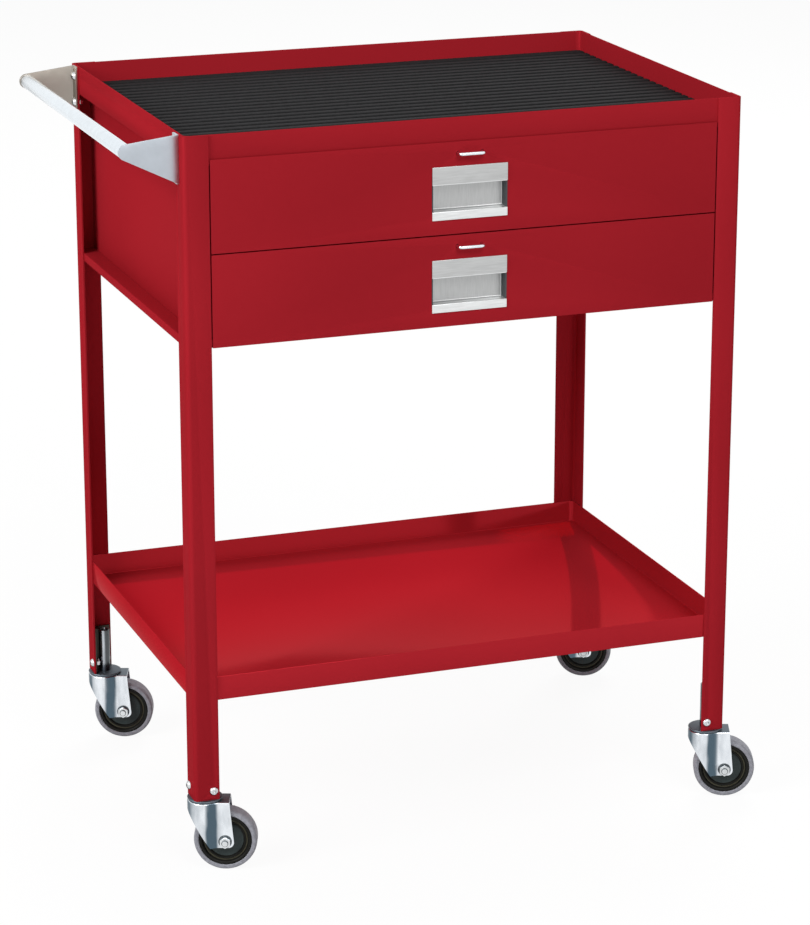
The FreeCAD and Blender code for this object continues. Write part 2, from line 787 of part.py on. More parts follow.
def build_fork(corner):
    """The swivelling fork: a crown with the lower race and two cheeks down to the axle."""
    fork = new_body("caster_fork_" + corner)
    disc = ring(sketch_on(fork, "XY_Plane", "crown_bottom"), "0", "0", "crown_diameter / 2")
    pad(fork, disc, "crown_sheet")
    plate = rectangle(sketch_on(fork, "XY_Plane", "crown_bottom"), "-crown_diameter / 2", "cheek_nose",
                      "-fork_gap / 2 - cheek_sheet", "fork_gap / 2 + cheek_sheet")
    pad(fork, plate, "crown_sheet")
    race = ring(sketch_on(fork, "XY_Plane", "crown_top"), "0", "0", "lower_race_diameter / 2")
    pad(fork, race, "lower_race")
    points = [
        ("-crown_diameter / 2", "crown_top"),
        ("-crown_diameter / 2", "crown_top - cheek_shoulder"),
        ("caster_trail - cheek_heel", "wheel_radius - cheek_drop"),
        ("caster_trail + cheek_front", "wheel_radius - cheek_drop"),
        ("cheek_nose", "crown_top"),
    ]
    for level in ("fork_gap / 2", "-fork_gap / 2 - cheek_sheet"):
        cheek = pad(fork, outline(sketch_on(fork, "XZ_Plane", level), points), "cheek_sheet")
    bottom = value("wheel_radius - cheek_drop")
    heel = value("caster_trail - cheek_heel")

    def across(edge):
        return runs_along(edge, Vector(0, 1, 0)) and abs(edge.CenterOfMass.z - bottom) < 0.01

    def at_nose(edge):
        return across(edge) and edge.CenterOfMass.x > heel + 1

    def at_heel(edge):
        return across(edge) and abs(edge.CenterOfMass.x - heel) < 0.5

    rounded = round_edges(fork, cheek, at_nose, "cheek_round")
    round_edges(fork, rounded, at_heel, "heel_round")
    drill(fork, "XY_Plane", "0", "0", "kingpin_radius + pin_play", "crown_sheet + lower_race",
          level="crown_top + lower_race")
    drill(fork, "XZ_Plane", "caster_trail", "wheel_radius", "axle_radius + pin_play",
          "fork_gap + 2 * cheek_sheet", level="fork_gap / 2 + cheek_sheet")
    return fork


def build_axle(corner):
    """The wheel's axle bolt, with its head on one cheek and its nut on the other."""
    face = "fork_gap / 2 + cheek_sheet"
    shank = rod("Axle", "axle_radius", "2 * (%s) + axle_nut + axle_tail" % face, "caster_trail",
                "-(%s) - axle_nut - axle_tail" % face, "wheel_radius", TO_BACK)
    head = hexagon("AxleHead", "axle_across", "axle_nut", "caster_trail", face, "wheel_radius",
                   TO_BACK)
    nut = hexagon("AxleNut", "axle_across", "axle_nut", "caster_trail", "-(%s)" % face,
                  "wheel_radius", TO_FRONT)
    return keep(join("AxleBolt", [shank, head, nut]), "caster_axle_" + corner)


def build_ring(name, profile):
    """A ring turned about the wheel's axle from half of its mirror-symmetric profile."""
    body = new_body(name)
    sketch = sketch_on(body, "XY_Plane")
    sketch.setExpression("AttachmentOffset.Base.x", ref("caster_trail"))
    sketch.setExpression("AttachmentOffset.Base.z", ref("wheel_radius"))
    mirrored = [(radius, minus(half)) for radius, half in reversed(profile)]
    revolve(body, outline(sketch, profile + mirrored))
    return body


def build_wheel(corner):
    """The wheel: a stepped plastic hub and a grey tyre."""
    hub = build_ring("caster_hub_" + corner, [
        ("axle_radius + pin_play", "boss_half"),
        ("hub_boss / 2", "boss_half"),
        ("hub_boss / 2", "hub_half - hub_web_depth"),
        ("hub_ring / 2", "hub_half - hub_web_depth"),
        ("hub_ring / 2", "hub_half - hub_step"),
        ("hub_radius - 2 * hub_step", "hub_half - hub_step"),
        ("hub_radius - 2 * hub_step", "hub_half"),
        ("hub_radius", "hub_half"),
    ])
    tyre = build_ring("caster_tyre_" + corner, [
        ("hub_radius", "hub_half"),
        ("wheel_radius - tyre_thick / 3", "wheel_width / 2"),
        ("wheel_radius", "wheel_width / 2 - tyre_thick / 2"),
    ])
    return [hub, tyre]


def build_caster(corner):
    """A swivel caster under one leg, trailing as the cart was last pushed."""
    side, end, turn = CORNERS[corner]
    yaw = Rotation(Vector(0, 0, 1), value("caster_yaw"))
    pieces = [build_stem(corner), build_fork(corner), build_axle(corner)] + build_wheel(corner)
    for piece in pieces:
        place(piece, "%d * (half_width - stem_inset)" % side,
              "%d * (half_depth - stem_inset)" % end, "0", yaw)


def build_cart():
    """Every sub-part of the cart."""
    for corner in CORNERS:
        build_leg(corner)
    build_tray()
    build_mat()
    build_pan("lower_shelf", "shelf_rim", "shelf_height")
    build_pan("cabinet_floor", "cabinet_lip", "cabinet_bottom", open_top=False)
    build_side_panel("cabinet_side_left", -1)
    build_side_panel("cabinet_side_right", 1)
    build_back_panel()
    build_drawer("lower", "cabinet_bottom")
    build_drawer("upper", "cabinet_bottom + front_height + drawer_gap")
    build_handle()
    for corner in CORNERS:
        build_socket(corner)
        build_caster(corner)
    build_socket_bolts()


def check_and_export():
    """Make sure that every object and every sub-part is sound, then write the sub-parts."""
    doc.recompute()
    for item in doc.Objects:
        if "Invalid" in item.State or "Error" in item.State:
            raise RuntimeError("%s failed: %s" % (item.Label, item.State))
    for name, item in NODES.items():
        shape = item.Shape
        if shape.isNull() or not shape.isValid() or not shape.Solids:
            raise RuntimeError("%s has no sound shape" % name)
    os.makedirs("parts", exist_ok=True)
    for name, item in NODES.items():
        item.Shape.exportStep("parts/%s.step" % name)
        box = item.Shape.BoundBox
        print("%-28s %2d solids %10.0f mm3  x %7.1f %7.1f  y %7.1f %7.1f  z %6.1f %6.1f" % (
            name, len(item.Shape.Solids), item.Shape.Volume, box.XMin, box.XMax, box.YMin,
            box.YMax, box.ZMin, box.ZMax))


build_cart()
check_and_export()
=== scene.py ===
import math

import bmesh
import bpy
from mathutils import Matrix, Vector


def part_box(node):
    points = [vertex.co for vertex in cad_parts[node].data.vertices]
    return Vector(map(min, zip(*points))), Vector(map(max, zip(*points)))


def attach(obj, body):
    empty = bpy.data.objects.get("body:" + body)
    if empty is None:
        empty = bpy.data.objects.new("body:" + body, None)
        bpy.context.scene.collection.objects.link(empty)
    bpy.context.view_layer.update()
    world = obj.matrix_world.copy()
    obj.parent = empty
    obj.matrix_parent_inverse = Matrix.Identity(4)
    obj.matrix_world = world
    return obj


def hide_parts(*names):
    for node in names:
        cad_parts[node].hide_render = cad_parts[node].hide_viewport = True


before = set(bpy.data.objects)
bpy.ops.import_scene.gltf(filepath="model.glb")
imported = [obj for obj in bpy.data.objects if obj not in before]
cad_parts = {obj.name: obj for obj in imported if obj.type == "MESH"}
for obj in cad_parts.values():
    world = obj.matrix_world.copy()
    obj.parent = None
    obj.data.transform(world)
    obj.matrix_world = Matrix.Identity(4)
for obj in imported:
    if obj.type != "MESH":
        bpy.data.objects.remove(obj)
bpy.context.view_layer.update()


# Camera: it stands in front of the cart's left corner and looks down on it a little,
# as the photograph does, with no shift.
azimuth, elevation = math.radians(-20.09), math.radians(17.15)
photo_height, focal_length = 925, 3362.4  # both in pixels
backward = Vector((math.sin(azimuth) * math.cos(elevation),
                   -math.cos(azimuth) * math.cos(elevation), math.sin(elevation)))
camera = bpy.data.objects.new("camera", bpy.data.cameras.new("camera"))
bpy.context.scene.collection.objects.link(camera)
camera.location = (-1.3595, -3.7413, 1.6285)
camera.rotation_mode = "QUATERNION"
camera.rotation_quaternion = (-backward).to_track_quat("-Z", "Y")
camera.data.sensor_width = 36
camera.data.lens = focal_length * 36 / photo_height
camera.data.clip_start, camera.data.clip_end = 0.05, 50
bpy.context.scene.camera = camera
bpy.context.scene.view_settings.view_transform = "Standard"


# Studio: a white floor that keeps a soft shadow, a white world for the camera, gloss and
# glass, and three soft lamps. The one behind lights the shelf and isn't mirrored in it.
def tone(red, green, blue):
    """A colour read in the usual 0 to 255 steps, as the shaders want it."""
    return tuple(c / 12.92 if c < 0.04045 else ((c + 0.055) / 1.055) ** 2.4
                 for c in (red / 255, green / 255, blue / 255)) + (1,)


def softbox(name, place, target, size, power, mirrored=True):
    """A square soft lamp that looks at a point, and shows in gloss or doesn't."""
    lamp = bpy.data.lights.new(name, "AREA")
    lamp.energy = power
    lamp.size = size
    holder = bpy.data.objects.new(name, lamp)
    holder.location = place
    aim = Vector(target) - Vector(place)
    holder.rotation_mode = "QUATERNION"
    holder.rotation_quaternion = aim.to_track_quat("-Z", "Y")
    holder.visible_glossy = mirrored
    bpy.context.scene.collection.objects.link(holder)


def seeing_rays(nodes, links):
    """Gives 1 for the rays that look at something: camera, gloss and glass rays."""
    rays = nodes.new("ShaderNodeLightPath")
    camera_or_gloss = nodes.new("ShaderNodeMath")
    camera_or_gloss.operation = "ADD"
    links.new(rays.outputs["Is Camera Ray"], camera_or_gloss.inputs[0])
    links.new(rays.outputs["Is Glossy Ray"], camera_or_gloss.inputs[1])
    any_of_them = nodes.new("ShaderNodeMath")
    any_of_them.operation = "ADD"
    any_of_them.use_clamp = True
    links.new(camera_or_gloss.outputs[0], any_of_them.inputs[0])
    links.new(rays.outputs["Is Transmission Ray"], any_of_them.inputs[1])
    return any_of_them.outputs[0]


softbox("key_softbox", (-4.3, -1.3, 2.9), (0, 0, 0.4), 2.4, 172)
softbox("fill_softbox", (0.3, -3.8, 3.9), (0, 0, 0.4), 2.2, 104)
softbox("back_softbox", (2.2, 3.4, 3.4), (0, 0, 0.3), 2.4, 130, mirrored=False)

white = (1, 1, 1, 1)
world_light, world_shown = 0.27, 1.0
world = bpy.data.worlds.new("studio")
bpy.context.scene.world = world
world.use_nodes = True
nodes, links = world.node_tree.nodes, world.node_tree.links
plain_world = nodes["Background"]
plain_world.inputs["Color"].default_value = white
plain_world.inputs["Strength"].default_value = world_light
white_world = nodes.new("ShaderNodeBackground")
white_world.inputs["Color"].default_value = white
white_world.inputs["Strength"].default_value = world_shown
mixed_world = nodes.new("ShaderNodeMixShader")
links.new(seeing_rays(nodes, links), mixed_world.inputs[0])
links.new(plain_world.outputs[0], mixed_world.inputs[1])
links.new(white_world.outputs[0], mixed_world.inputs[2])
links.new(mixed_world.outputs[0], nodes["World Output"].inputs["Surface"])

floor_reach, floor_drop = 12, 0.0002
floor_grey, floor_glow, floor_share = 0.62, 1.04, 0.9
floor_mesh = bmesh.new()
bmesh.ops.create_grid(floor_mesh, x_segments=1, y_segments=1, size=floor_reach)
floor_data = bpy.data.meshes.new("floor")
floor_mesh.to_mesh(floor_data)
floor_mesh.free()
floor = bpy.data.objects.new("floor", floor_data)
bpy.context.scene.collection.objects.link(floor)
floor.location.z = -floor_drop
floor_paint = bpy.data.materials.new("pale_floor")
floor_paint.use_nodes = True
nodes, links = floor_paint.node_tree.nodes, floor_paint.node_tree.links
nodes.remove(nodes["Principled BSDF"])
matt = nodes.new("ShaderNodeBsdfDiffuse")
matt.inputs["Color"].default_value = (floor_grey, floor_grey, floor_grey, 1)
glow = nodes.new("ShaderNodeEmission")
glow.inputs["Strength"].default_value = floor_glow
share = nodes.new("ShaderNodeMath")
share.operation = "MULTIPLY"
share.inputs[1].default_value = floor_share
links.new(seeing_rays(nodes, links), share.inputs[0])
blend = nodes.new("ShaderNodeMixShader")
links.new(share.outputs[0], blend.inputs[0])
links.new(matt.outputs[0], blend.inputs[1])
links.new(glow.outputs[0], blend.inputs[2])
links.new(blend.outputs[0], nodes["Material Output"].inputs["Surface"])
floor_data.materials.append(floor_paint)


# Legs: four equal angles folded from 2 mm steel sheet, with an outer bend of 5 mm,
# powder coated red. Their cut edges are slightly rounded by the coat.
def noise_over(nodes, links, place, scale, detail):
    """A noise that follows the piece's own coordinates."""
    noise = nodes.new("ShaderNodeTexNoise")
    noise.inputs["Scale"].default_value = scale
    noise.inputs["Detail"].default_value = detail
    links.new(place, noise.inputs["Vector"])
    return noise.outputs["Fac"]


def two_tones(nodes, links, pattern, colour, dark, light, spots):
    """A ramp from a darker to a lighter tone of one colour."""
    ramp = nodes.new("ShaderNodeValToRGB")
    for stop, spot, share in zip(ramp.color_ramp.elements, spots, (dark, light)):
        stop.position = spot
        stop.color = tuple(min(1, share * c) for c in colour[:3]) + (1,)
    links.new(pattern, ramp.inputs["Fac"])
    return ramp


def fine_bump(nodes, links, pattern, strength, depth):
    """Relief too fine to model."""
    relief = nodes.new("ShaderNodeBump")
    relief.inputs["Strength"].default_value = strength
    relief.inputs["Distance"].default_value = depth
    links.new(pattern, relief.inputs["Height"])
    return relief.outputs["Normal"]


def powder_coat(name, colour, rough=0.3, mirror=0.08):
    """Glossy powder coat: a fine orange-peel skin, a faint drift of tone and of gloss, and
    reflections that take on its own red."""
    paint = bpy.data.materials.new(name)
    paint.use_nodes = True
    nodes, links = paint.node_tree.nodes, paint.node_tree.links
    coat = nodes["Principled BSDF"]
    place = nodes.new("ShaderNodeTexCoord").outputs["Object"]
    drift = noise_over(nodes, links, place, 5.5, 0)
    shades = two_tones(nodes, links, drift, colour, 0.96, 1.04, (0.15, 0.85))
    shades.color_ramp.interpolation = "EASE"
    links.new(shades.outputs["Color"], coat.inputs["Base Color"])
    gloss = nodes.new("ShaderNodeMapRange")
    gloss.inputs["To Min"].default_value = rough - 0.01
    gloss.inputs["To Max"].default_value = rough + 0.02
    links.new(drift, gloss.inputs["Value"])
    links.new(gloss.outputs["Result"], coat.inputs["Roughness"])
    peel = noise_over(nodes, links, place, 620, 1.5)
    links.new(fine_bump(nodes, links, peel, 0.05, 0.0002), coat.inputs["Normal"])
    coat.inputs["Specular IOR Level"].default_value = 0.0
    coat.inputs["Metallic"].default_value = mirror
    coat.inputs["Specular Tint"].default_value = (1, 0.4, 0.4, 1)
    return paint


def shaped_from(node, width, angle=35, segments=2):
    """A merged copy of a part's shape, with its sheet edges rounded."""
    shape = bmesh.new()
    shape.from_mesh(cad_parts[node].data)
    bmesh.ops.remove_doubles(shape, verts=shape.verts, dist=1e-6)
    bmesh.ops.dissolve_limit(shape, angle_limit=math.radians(0.5), verts=shape.verts,
                             edges=shape.edges)
    sharp = [edge for edge in shape.edges
             if len(edge.link_faces) == 2 and edge.calc_face_angle(0) > math.radians(angle)]
    bmesh.ops.bevel(shape, geom=sharp, offset=width, offset_type="OFFSET", segments=segments,
                    profile=0.5, affect="EDGES", clamp_overlap=True, material=-1)
    return shape


def fitted(name, shape, material, node, body, smooth=40):
    """Turn a finished shape into the piece that stands for a part."""
    data = bpy.data.meshes.new(name)
    shape.to_mesh(data)
    shape.free()
    data.shade_smooth()
    data.set_sharp_from_angle(angle=math.radians(smooth))
    data.materials.append(material)
    piece = bpy.data.objects.new(name, data)
    bpy.context.scene.collection.objects.link(piece)
    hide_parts(node)
    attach(piece, body)
    return piece


red_coat = powder_coat("red_powder_coat", tone(160, 32, 41))
corners = ("front_left", "front_right", "rear_right", "rear_left")
leg_edge = 0.0005
for corner in corners:
    fitted("angle_leg_" + corner, shaped_from("leg_" + corner, leg_edge), red_coat,
           "leg_" + corner, "frame")


# Tray, shelf and cabinet floor: three folded pans, nested in the legs and spot welded,
# with soft bends along the floor and a hemmed rim. The shelf's coat is the smoothest, and
# mirrors the rear leg; its red is painted a step lighter than the frame's, as painted light
# against the shade under the cabinet.
# The shelf's lighter red is painted light: the same paint as the frame, lifted against the
# cabinet's shade.
shelf_coat = powder_coat("shelf_powder_coat", tone(172, 36, 45), 0.08, 0.3)
rim_edge = 0.0006
for node, coat in (("top_tray", red_coat), ("lower_shelf", shelf_coat),
                   ("cabinet_floor", red_coat)):
    fitted("folded_" + node, shaped_from(node, rim_edge), coat, node, "frame")


# Cabinet shell: two sides set in from the legs and a plain back. They are folded from thin
# steel sheet, spot welded to the cabinet floor and coated red like the frame.
thin_edge = 0.0004
for node in ("cabinet_side_left", "cabinet_side_right", "cabinet_back"):
    fitted("shell_" + node, shaped_from(node, thin_edge), red_coat, node, "frame")


# Mat: black rubber, moulded with ribs that run from left to right. It lies loose in the
# tray, a little smaller than the tray's floor.
def worn_rubber(name, colour, rough, grain, shine=0.15):
    """Rubber with a fine dull grain."""
    rubber = bpy.data.materials.new(name)
    rubber.use_nodes = True
    nodes, links = rubber.node_tree.nodes, rubber.node_tree.links
    skin = nodes["Principled BSDF"]
    dust = noise_over(nodes, links, nodes.new("ShaderNodeTexCoord").outputs["Object"], grain, 5)
    shades = two_tones(nodes, links, dust, colour, 0.85, 1.15, (0.35, 0.65))
    links.new(shades.outputs["Color"], skin.inputs["Base Color"])
    links.new(fine_bump(nodes, links, dust, 0.25, 0.0002), skin.inputs["Normal"])
    skin.inputs["Roughness"].default_value = rough
    skin.inputs["Specular IOR Level"].default_value = shine
    return rubber


mat_rubber = worn_rubber("mat_rubber", tone(43, 43, 44), 0.65, 320, shine=0.02)
rib_round = 0.0009
fitted("ribbed_mat", shaped_from("tray_mat", rib_round, segments=3), mat_rubber, "tray_mat",
       "frame")


# Drawer fronts: folded from 1.5 mm steel sheet with a return all round, and coated like the
# frame. Each is spot welded to its box, and has a cut-out for the pull.
levels = ("upper", "lower")
front_fold = 0.0008
for level in levels:
    node = level + "_drawer_front"
    fitted(level + "_folded_front", shaped_from(node, front_fold, segments=4), red_coat, node,
           level + "_drawer")


# Drawer boxes: open boxes folded from 1 mm steel sheet and coated red. Each hangs on the
# two runners that are screwed to its sides.
box_coat = powder_coat("box_powder_coat", tone(150, 26, 35), 0.36)
box_edge = 0.0003
for level in levels:
    node = level + "_drawer_box"
    fitted(level + "_sheet_box", shaped_from(node, box_edge), box_coat, node,
           level + "_drawer")


# Slides: zinc-plated steel channels, one inside the other. The outer one is screwed inside
# the cabinet, and the inner one to the drawer's side.
def zinc_plate(name, colour, rough=0.3):
    """Bright zinc plate: a bluish metal with a faint cloudy bloom."""
    plate = bpy.data.materials.new(name)
    plate.use_nodes = True
    nodes, links = plate.node_tree.nodes, plate.node_tree.links
    metal = nodes["Principled BSDF"]
    bloom = noise_over(nodes, links, nodes.new("ShaderNodeTexCoord").outputs["Object"], 95, 4)
    shades = two_tones(nodes, links, bloom, colour, 0.93, 1, (0.3, 0.7))
    links.new(shades.outputs["Color"], metal.inputs["Base Color"])
    gloss = nodes.new("ShaderNodeMapRange")
    gloss.inputs["To Min"].default_value = rough - 0.06
    gloss.inputs["To Max"].default_value = rough + 0.08
    links.new(bloom, gloss.inputs["Value"])
    links.new(gloss.outputs["Result"], metal.inputs["Roughness"])
    metal.inputs["Metallic"].default_value = 1
    return plate


zinc = zinc_plate("zinc_plate", tone(214, 222, 232))
channel_edge = 0.0002
for level in levels:
    for hand in ("left", "right"):
        for kind, body in (("slide", "frame"), ("runner", level + "_drawer")):
            node = "%s_%s_%s" % (level, kind, hand)
            fitted("channel_" + node, shaped_from(node, channel_edge), zinc, node,
                   body)


# Caster sockets: zinc brackets bolted inside the feet, each with a tube for the stem. Their
# wings are dull zinc painted dark as shade inside the legs, and the tubes carry a painted
# highlight where they face out to the left and painted shade on the right.
def zinc_with_painted_shade(name, colour, dark, facing, stops):
    """Bright zinc plate with painted shade and dark reflections: it darkens where it turns, on
    a pressing's nose and double bend, or under a bolt's dome, by the way each face points. The
    stops say how dark it is as it faces along a direction. Long blotches of painted reflection
    lie over it."""
    plate = zinc_plate(name, colour, 0.24)
    nodes, links = plate.node_tree.nodes, plate.node_tree.links
    where = nodes["Texture Coordinate"]
    along = nodes.new("ShaderNodeVectorMath")
    along.operation = "DOT_PRODUCT"
    along.inputs[1].default_value = facing
    links.new(where.outputs["Normal"], along.inputs[0])
    # Painted shade: how dark a face is comes only from the way it points.
    spread = nodes.new("ShaderNodeMapRange")
    spread.inputs["From Min"].default_value = -1
    links.new(along.outputs["Value"], spread.inputs["Value"])
    bands = nodes.new("ShaderNodeValToRGB")
    for spot, level in stops:
        stop = bands.color_ramp.elements.new(spot)
        stop.color = (level, level, level, 1)
    bands.color_ramp.elements[0].color = (stops[0][1],) * 3 + (1,)
    bands.color_ramp.elements[-1].color = (stops[-1][1],) * 3 + (1,)
    links.new(spread.outputs["Result"], bands.inputs["Fac"])
    drawn_out = nodes.new("ShaderNodeMapping")
    drawn_out.inputs["Scale"].default_value = (1, 1, 0.3)
    links.new(where.outputs["Object"], drawn_out.inputs["Vector"])
    streaks = noise_over(nodes, links, drawn_out.outputs["Vector"], 90, 2)
    # Painted reflection: long upright blotches that darken the zinc further.
    painted_reflection_blotches = nodes.new("ShaderNodeMapRange")
    painted_reflection_blotches.inputs["From Min"].default_value = 0.42
    painted_reflection_blotches.inputs["From Max"].default_value = 0.7
    painted_reflection_blotches.inputs["To Max"].default_value = 0.32
    links.new(streaks, painted_reflection_blotches.inputs["Value"])
    darkness = nodes.new("ShaderNodeMath")
    darkness.operation = "ADD"
    darkness.use_clamp = True
    links.new(bands.outputs["Color"], darkness.inputs[0])
    links.new(painted_reflection_blotches.outputs["Result"], darkness.inputs[1])
    tint = nodes.new("ShaderNodeMix")
    tint.data_type = "RGBA"
    links.new(darkness.outputs[0], tint.inputs[0])
    links.new(nodes["Color Ramp"].outputs["Color"], tint.inputs[6])
    tint.inputs[7].default_value = dark
    links.new(tint.outputs[2], nodes["Principled BSDF"].inputs["Base Color"])
    return plate


# The tube: painted highlight where it faces left, painted shade where it faces right.
tube_zinc = zinc_with_painted_shade("tube_zinc", tone(206, 212, 218), tone(86, 90, 92), (-1, 0, 0),
                        ((0.45, 1), (0.58, 0.4), (0.66, 0), (0.94, 0), (1, 0.3)))
# The wings: zinc painted dark as the shade inside the legs.
shaded_wing_zinc = zinc_plate("shaded_wing_zinc", tone(74, 72, 66), 0.5)
swivel_x, swivel_y = 0.323, 0.223
bracket_edge, tube_reach = 0.0004, 0.009
for corner in corners:
    shape = shaped_from("socket_" + corner, bracket_edge)
    swivel = Vector((swivel_x if corner.endswith("right") else -swivel_x,
                     swivel_y if corner.startswith("rear") else -swivel_y))
    # Faces away from the tube take the wings' painted shade.
    for skin in shape.faces:
        far = max((vert.co.xy - swivel).length for vert in skin.verts)
        skin.material_index = 1 if far > tube_reach else 0
    bracket = fitted("bracket_" + corner, shape, tube_zinc, "socket_" + corner,
                     "frame")
    bracket.data.materials.append(shaded_wing_zinc)


# Pulls: cups pressed from satin stainless sheet and spot welded behind a cut-out. The strip
# above ends in a hem; the hem and the lip below are painted brighter as a highlight, and the
# pocket's side walls and their bends are painted dark as shade.
def brushed_steel(name, colour, rough, along):
    """Satin steel brushed along one axis."""
    steel = bpy.data.materials.new(name)
    steel.use_nodes = True
    nodes, links = steel.node_tree.nodes, steel.node_tree.links
    metal = nodes["Principled BSDF"]
    squeeze = nodes.new("ShaderNodeMapping")
    squeeze.inputs["Scale"].default_value = along
    links.new(nodes.new("ShaderNodeTexCoord").outputs["Object"], squeeze.inputs["Vector"])
    lines = noise_over(nodes, links, squeeze.outputs["Vector"], 60, 3)
    shades = two_tones(nodes, links, lines, colour, 0.86, 1, (0.3, 0.7))
    links.new(shades.outputs["Color"], metal.inputs["Base Color"])
    links.new(fine_bump(nodes, links, lines, 0.18, 0.0001), metal.inputs["Normal"])
    metal.inputs["Metallic"].default_value = 0.85
    metal.inputs["Roughness"].default_value = rough
    return steel


def slab(shape, low, high):
    """Add a box between two corners to a shape and give back its vertices."""
    low, high = Vector(low), Vector(high)
    made = bmesh.ops.create_cube(shape, size=1)["verts"]
    size = high - low
    bmesh.ops.scale(shape, vec=size, verts=made)
    bmesh.ops.translate(shape, vec=(low + high) / 2, verts=made)
    return made


satin_steel = brushed_steel("satin_steel", tone(200, 201, 201), 0.36, (1, 14, 14))
# Painted highlight: a brighter copy of the satin steel for the lip and the hem.
bright_steel = brushed_steel("bright_steel", tone(238, 240, 240), 0.3, (1, 14, 14))
pocket_steel = brushed_steel("pocket_steel", tone(190, 191, 191), 0.36, (14, 14, 1))
# Painted shade: a dark copy of the steel for the pocket's side walls.
shaded_steel = brushed_steel("shaded_steel", tone(84, 87, 90), 0.42, (14, 1, 14))
sheet, strip_height, lip_height = 0.0012, 0.0215, 0.010
pocket_drop, pocket_bend, hem = 0.006, 0.0030, 0.0024
strip_edge, lip_edge, hem_round = 0.0004, 0.0005, 0.0011
for level in levels:
    low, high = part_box(level + "_drawer_pull")
    face, strip_foot, lip_top = low.y, high.z - strip_height, low.z + lip_height
    shape = bmesh.new()
    slab(shape, (low.x, face + sheet, lip_top - sheet), (high.x, high.y, high.z - pocket_drop))
    bmesh.ops.delete(shape, geom=[f for f in shape.faces if f.normal.y < -0.9],
                     context="FACES")
    folds = [e for e in shape.edges if len(e.link_faces) == 2]
    bmesh.ops.bevel(shape, geom=folds, offset=pocket_bend, offset_type="OFFSET", segments=5,
                    profile=0.5, affect="EDGES", clamp_overlap=True, material=-1)
    bmesh.ops.recalc_face_normals(shape, faces=shape.faces)
    for skin in shape.faces:
        # The side walls take the painted shade.
        skin.material_index = 3 if abs(skin.normal.x) > 0.5 else 2
    bmesh.ops.solidify(shape, geom=list(shape.faces), thickness=sheet)
    strip = slab(shape, (low.x, face, strip_foot + 0.001), (high.x, face + sheet, high.z))
    lip = slab(shape, (low.x, face, low.z), (high.x, face + sheet, lip_top))
    roll = slab(shape, (low.x, face, strip_foot), (high.x, face + hem, strip_foot + hem))
    # The lip and the hem take the painted highlight.
    for verts, width, steel in ((strip, strip_edge, 0), (lip, lip_edge, 1),
                                (roll, hem_round, 1)):
        for skin in {side for vert in verts for side in vert.link_faces}:
            skin.material_index = steel
        edges = list({edge for vert in verts for edge in vert.link_edges})
        bmesh.ops.bevel(shape, geom=edges, offset=width, offset_type="OFFSET", segments=4,
                        profile=0.5, affect="EDGES", clamp_overlap=True, material=-1)
    pull = fitted(level + "_cup_pull", shape, satin_steel, level + "_drawer_pull",
                  level + "_drawer")
    for steel in (bright_steel, pocket_steel, shaded_steel):
        pull.data.materials.append(steel)


# Wire loops: staples of 3.8 mm polished steel wire, bent with round corners. Their legs are
# pushed through the drawer front from outside.
def swept_rod(shape, radius, start, moves, sides=20):
    """A round rod that runs straight and round bends: moves are lengths, or bend angles
    with their centre and axis."""
    ring = bmesh.ops.create_circle(shape, cap_ends=True, radius=radius, segments=sides)["verts"]
    bmesh.ops.rotate(shape, cent=(0, 0, 0), verts=ring,
                     matrix=start[1].to_track_quat("Z", "Y").to_matrix())
    bmesh.ops.translate(shape, vec=start[0], verts=ring)
    end = list({face for vert in ring for face in vert.link_faces})
    for move in moves:
        if move[0] == "run":
            grown = bmesh.ops.extrude_face_region(shape, geom=end)["geom"]
            verts = [item for item in grown if isinstance(item, bmesh.types.BMVert)]
            bmesh.ops.translate(shape, vec=move[1], verts=verts)
            bmesh.ops.delete(shape, geom=end, context="FACES_ONLY")
            end = [item for item in grown if isinstance(item, bmesh.types.BMFace)]
        else:
            swept = bmesh.ops.spin(shape, geom=end, cent=move[1], axis=move[2],
                                   angle=math.radians(move[3]), steps=8)
            bmesh.ops.delete(shape, geom=end, context="FACES_ONLY")
            end = [item for item in swept["geom_last"] if isinstance(item, bmesh.types.BMFace)]
    bmesh.ops.remove_doubles(shape, verts=shape.verts, dist=1e-6)
    bmesh.ops.recalc_face_normals(shape, faces=shape.faces)


polished = zinc_plate("polished_plate", tone(236, 244, 250), 0.17)
bend = 0.004
for level in levels:
    low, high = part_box(level + "_drawer_wire")
    radius = (high.z - low.z) / 2
    height, leg = (low.z + high.z) / 2, (high.x - low.x) / 2 - radius
    bar_y = low.y + radius
    shape = bmesh.new()
    swept_rod(shape, radius, (Vector((-leg, high.y, height)), Vector((0, -1, 0))), [
        ("run", (0, bar_y + bend - high.y, 0)),
        ("bend", (-leg + bend, bar_y + bend, height), (0, 0, 1), 90),
        ("run", (2 * (leg - bend), 0, 0)),
        ("bend", (leg - bend, bar_y + bend, height), (0, 0, 1), 90),
        ("run", (0, high.y - bar_y - bend, 0)),
    ])
    fitted(level + "_wire_staple", shape, polished, level + "_drawer_wire",
           level + "_drawer", smooth=60)


